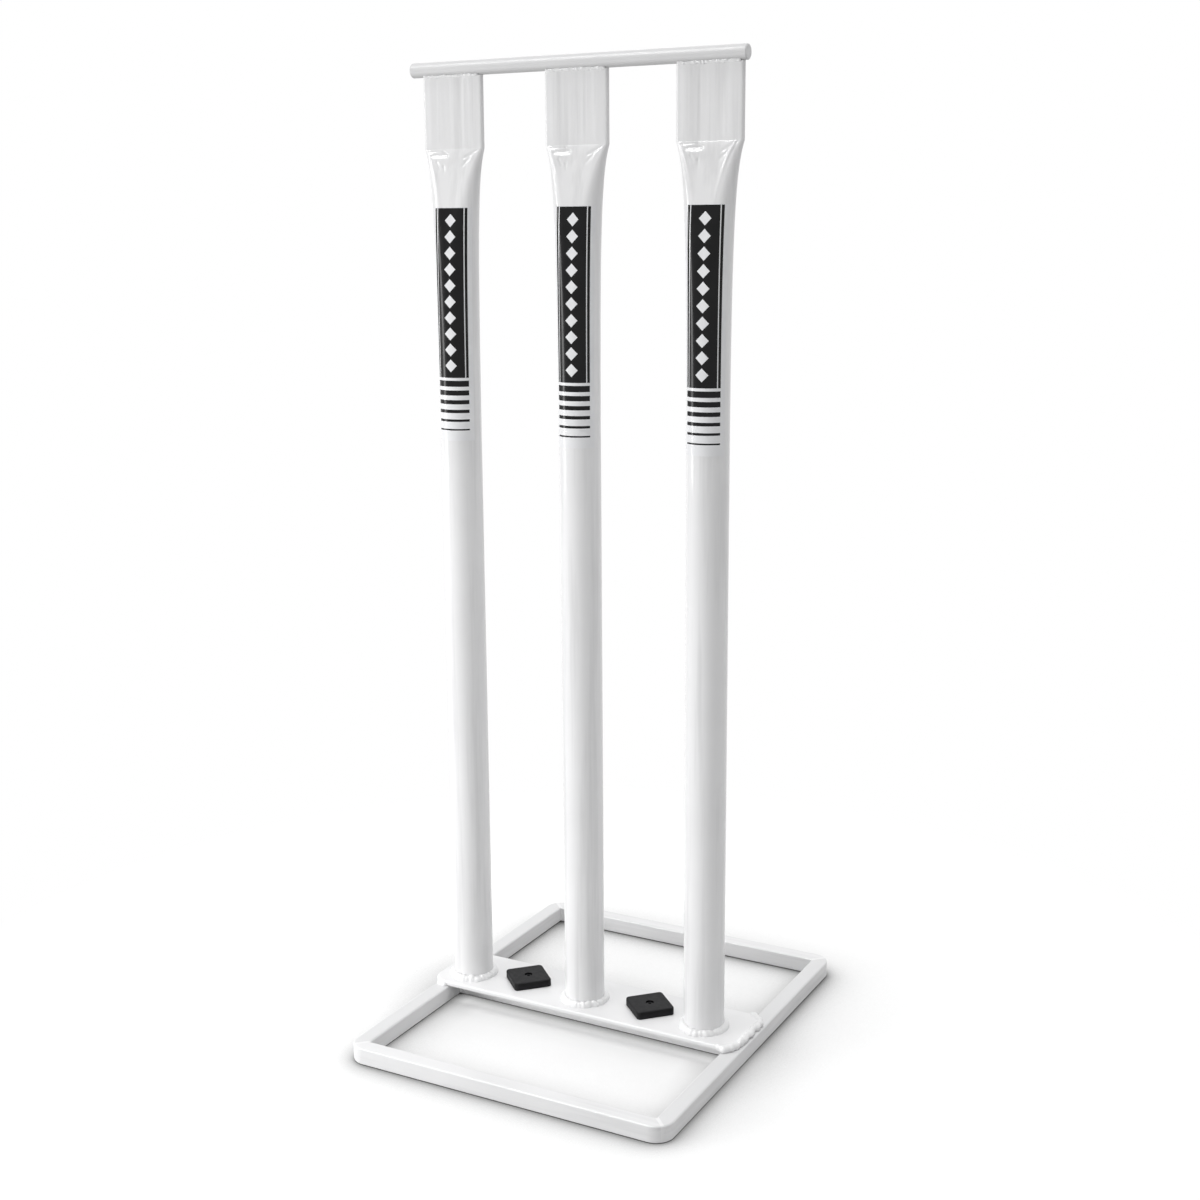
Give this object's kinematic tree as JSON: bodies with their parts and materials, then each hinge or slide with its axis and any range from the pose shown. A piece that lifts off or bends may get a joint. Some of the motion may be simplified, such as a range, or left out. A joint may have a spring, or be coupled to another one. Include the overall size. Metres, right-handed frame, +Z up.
{
  "type": "cricket stumps",
  "caption": "Free-standing metal cricket wicket: tube stumps with flattened tops, joined by a round bar, welded to a plate on a rectangular floor frame.",
  "frame": {"origin": "where the middle stump's axis meets the ground, on the underside of the cross bar", "axes": "+X along the row of stumps towards the right stump, -Y towards the labelled front, +Z up"},
  "size_m": [0.273, 0.3085, 0.711],
  "materials": {
    "white_powder_coat": "semi-gloss white powder coat over steel, with faint orange peel",
    "label_vinyl": "glossy printed vinyl, black on clear",
    "black_pad_plastic": "matt moulded black plastic",
    "blackened_screw_steel": "blackened steel"
  },
  "bodies": {
    "root": {"frame_front_rail": "white_powder_coat", "frame_right_rail": "white_powder_coat", "frame_back_rail": "white_powder_coat", "frame_left_rail": "white_powder_coat", "frame_corner_weld_front_left": "white_powder_coat", "frame_corner_weld_front_right": "white_powder_coat", "frame_corner_weld_back_left": "white_powder_coat", "frame_corner_weld_back_right": "white_powder_coat", "cross_bar": "white_powder_coat", "left_cross_bar_weld": "white_powder_coat", "right_cross_bar_weld": "white_powder_coat", "stump_plate": "white_powder_coat", "right_plate_weld": "white_powder_coat", "left_plate_weld_front": "white_powder_coat", "left_plate_weld_back": "white_powder_coat", "left_stump": "white_powder_coat", "middle_stump": "white_powder_coat", "right_stump": "white_powder_coat", "left_stump_foot_weld": "white_powder_coat", "middle_stump_foot_weld": "white_powder_coat", "right_stump_foot_weld": "white_powder_coat", "left_bail_weld_front": "white_powder_coat", "left_bail_weld_back": "white_powder_coat", "middle_bail_weld_front": "white_powder_coat", "middle_bail_weld_back": "white_powder_coat", "right_bail_weld_front": "white_powder_coat", "right_bail_weld_back": "white_powder_coat", "bail_bar": "white_powder_coat", "left_label": "label_vinyl", "middle_label": "label_vinyl", "right_label": "label_vinyl", "left_pad": "black_pad_plastic", "right_pad": "black_pad_plastic", "left_pad_screw": "blackened_screw_steel", "right_pad_screw": "blackened_screw_steel"}
  },
  "joints": []
}
